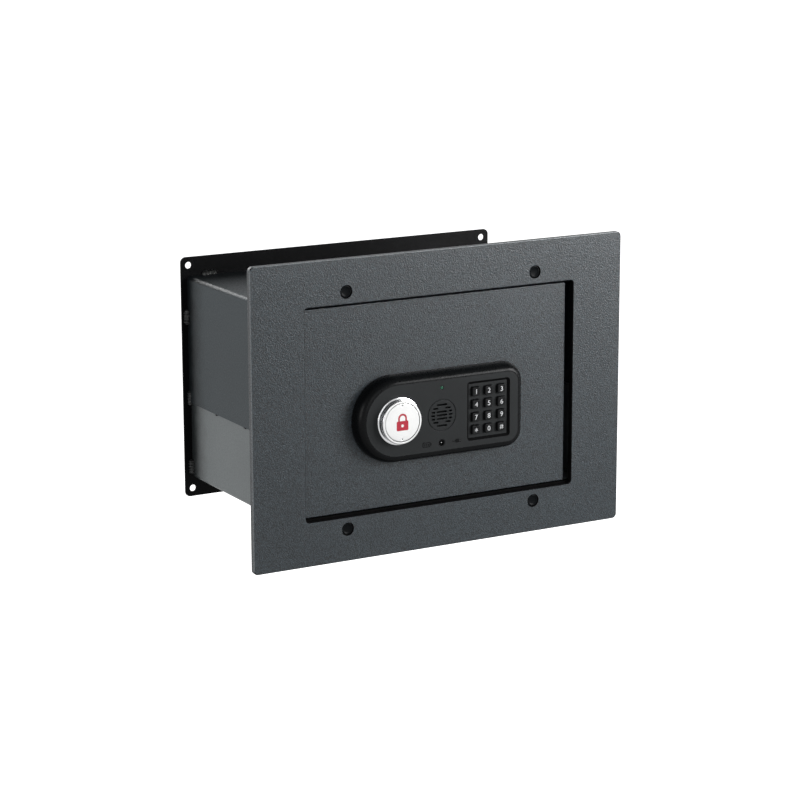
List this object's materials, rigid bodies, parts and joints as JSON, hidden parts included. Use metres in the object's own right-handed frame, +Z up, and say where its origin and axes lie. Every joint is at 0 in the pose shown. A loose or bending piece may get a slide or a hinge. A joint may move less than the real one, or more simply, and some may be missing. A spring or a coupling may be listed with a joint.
{
  "type": "wall safe",
  "caption": "Wall safe for building into masonry: wide front plate, recessed hinged door with keypad lock and round knob, steel body and rear anchor plate.",
  "frame": {"origin": "centre of the rear plate's back face, midway between its four anchor holes", "axes": "+Z up, +X to the right seen from the front, -Y out of the wall through the front plate and door"},
  "size_m": [0.418, 0.233, 0.3],
  "materials": {
    "graphite_powder_coat": "textured powder coat",
    "grey_powder_coat": "satin powder coat",
    "black_paint": "black primer",
    "weld_metal": "painted weld bead",
    "zinc_plate": "zinc plated",
    "bright_steel": "bright ground steel",
    "chrome": "polished",
    "satin_silver": "satin, near white",
    "brass": "plain",
    "black_plastic": "fine matte grain",
    "speaker_black": "matte",
    "key_rubber": "moulded",
    "silicone": "moulded",
    "felt": "needle felt",
    "nylon": "moulded",
    "green_lens": "translucent green",
    "board_green": "solder mask",
    "battery_wrap": "plain wrap",
    "copper_winding": "enamelled winding",
    "wire_red": "insulation",
    "button_red": "moulded"
  },
  "bodies": {
    "safe_body": {"front_plate": "graphite_powder_coat", "plate_plugs": "black_plastic", "body_upper_shell": "grey_powder_coat", "body_lower_shell": "grey_powder_coat", "rear_plate": "black_paint", "weld_beads": "weld_metal", "bolt_strike": "zinc_plate", "hinge_brackets": "zinc_plate", "hinge_pins": "bright_steel", "hinge_washers": "brass", "floor_mat": "felt"},
    "door": {"door_plate": "graphite_powder_coat", "hinge_blocks": "zinc_plate", "escutcheon": "black_plastic", "knob_base_ring": "chrome", "spindle_bush": "nylon", "speaker": "speaker_black", "status_light": "green_lens", "power_jack": "black_plastic", "keypad_mat": "silicone", "circuit_board": "board_green", "escutcheon_studs": "zinc_plate", "escutcheon_nuts": "zinc_plate", "inner_cover": "grey_powder_coat", "cover_screws": "zinc_plate", "bolt_guide": "zinc_plate", "guide_studs": "bright_steel", "guide_nuts": "zinc_plate", "battery_box": "black_plastic", "batteries": "battery_wrap", "battery_contacts": "bright_steel", "reset_switch": "black_plastic", "solenoid_frame": "zinc_plate", "solenoid_coil": "copper_winding", "cable_harness": "wire_red"},
    "knob": {"knob": "chrome", "spindle": "zinc_plate", "pinion": "brass", "spindle_nut": "zinc_plate", "key_cylinder": "brass"},
    "bolt_work": {"bolt_carriage": "zinc_plate", "locking_bolts": "bright_steel", "bolt_screws": "zinc_plate"},
    "knob_cap": {"knob_cap": "satin_silver"},
    "key_plug": {"key_plug": "brass"},
    "plunger": {"solenoid_plunger": "bright_steel"},
    "battery_cover": {"battery_cover": "black_plastic"},
    "reset_button": {"reset_button": "button_red"},
    "key_1": {"key_1": "key_rubber"},
    "key_2": {"key_2": "key_rubber"},
    "key_3": {"key_3": "key_rubber"},
    "key_4": {"key_4": "key_rubber"},
    "key_5": {"key_5": "key_rubber"},
    "key_6": {"key_6": "key_rubber"},
    "key_7": {"key_7": "key_rubber"},
    "key_8": {"key_8": "key_rubber"},
    "key_9": {"key_9": "key_rubber"},
    "key_star": {"key_star": "key_rubber"},
    "key_0": {"key_0": "key_rubber"},
    "key_hash": {"key_hash": "key_rubber"}
  },
  "joints": [
    {"name": "door_hinge", "type": "hinge", "parent": "safe_body", "child": "door", "pos_m": [0.1324, -0.1932, 0], "axis": [0, 0, 1], "range_deg": [0, 95]},
    {"name": "knob_turn", "type": "hinge", "parent": "door", "child": "knob", "pos_m": [-0.0551, -0.225, -0.0134], "axis": [0, -1, 0], "range_deg": [0, 90]},
    {"name": "bolt_slide", "type": "slide", "parent": "door", "child": "bolt_work", "axis": [-1, 0, 0], "range_m": [0, 0.01884]},
    {"name": "cap_pull", "type": "slide", "parent": "knob", "child": "knob_cap", "axis": [0, -1, 0], "range_m": [0, 0.015]},
    {"name": "key_turn", "type": "hinge", "parent": "knob", "child": "key_plug", "pos_m": [-0.0551, -0.225, -0.0134], "axis": [0, 1, 0], "range_deg": [0, 90]},
    {"name": "plunger_slide", "type": "slide", "parent": "door", "child": "plunger", "axis": [0, 0, 1], "range_m": [0, 0.0042]},
    {"name": "battery_cover_slide", "type": "slide", "parent": "door", "child": "battery_cover", "axis": [-1, 0, 0], "range_m": [0, 0.062]},
    {"name": "reset_press", "type": "slide", "parent": "door", "child": "reset_button", "axis": [0, -1, 0], "range_m": [0, 0.0015], "stiffness_N_per_m": 500},
    {"name": "key_1_press", "type": "slide", "parent": "door", "child": "key_1", "axis": [0, 1, 0], "range_m": [0, 0.001], "stiffness_N_per_m": 500},
    {"name": "key_2_press", "type": "slide", "parent": "door", "child": "key_2", "axis": [0, 1, 0], "range_m": [0, 0.001], "stiffness_N_per_m": 500},
    {"name": "key_3_press", "type": "slide", "parent": "door", "child": "key_3", "axis": [0, 1, 0], "range_m": [0, 0.001], "stiffness_N_per_m": 500},
    {"name": "key_4_press", "type": "slide", "parent": "door", "child": "key_4", "axis": [0, 1, 0], "range_m": [0, 0.001], "stiffness_N_per_m": 500},
    {"name": "key_5_press", "type": "slide", "parent": "door", "child": "key_5", "axis": [0, 1, 0], "range_m": [0, 0.001], "stiffness_N_per_m": 500},
    {"name": "key_6_press", "type": "slide", "parent": "door", "child": "key_6", "axis": [0, 1, 0], "range_m": [0, 0.001], "stiffness_N_per_m": 500},
    {"name": "key_7_press", "type": "slide", "parent": "door", "child": "key_7", "axis": [0, 1, 0], "range_m": [0, 0.001], "stiffness_N_per_m": 500},
    {"name": "key_8_press", "type": "slide", "parent": "door", "child": "key_8", "axis": [0, 1, 0], "range_m": [0, 0.001], "stiffness_N_per_m": 500},
    {"name": "key_9_press", "type": "slide", "parent": "door", "child": "key_9", "axis": [0, 1, 0], "range_m": [0, 0.001], "stiffness_N_per_m": 500},
    {"name": "key_star_press", "type": "slide", "parent": "door", "child": "key_star", "axis": [0, 1, 0], "range_m": [0, 0.001], "stiffness_N_per_m": 500},
    {"name": "key_0_press", "type": "slide", "parent": "door", "child": "key_0", "axis": [0, 1, 0], "range_m": [0, 0.001], "stiffness_N_per_m": 500},
    {"name": "key_hash_press", "type": "slide", "parent": "door", "child": "key_hash", "axis": [0, 1, 0], "range_m": [0, 0.001], "stiffness_N_per_m": 500}
  ],
  "couplings": [
    {"joint": "knob_turn", "follows": "bolt_slide", "rad_per_m": 83.333}
  ]
}
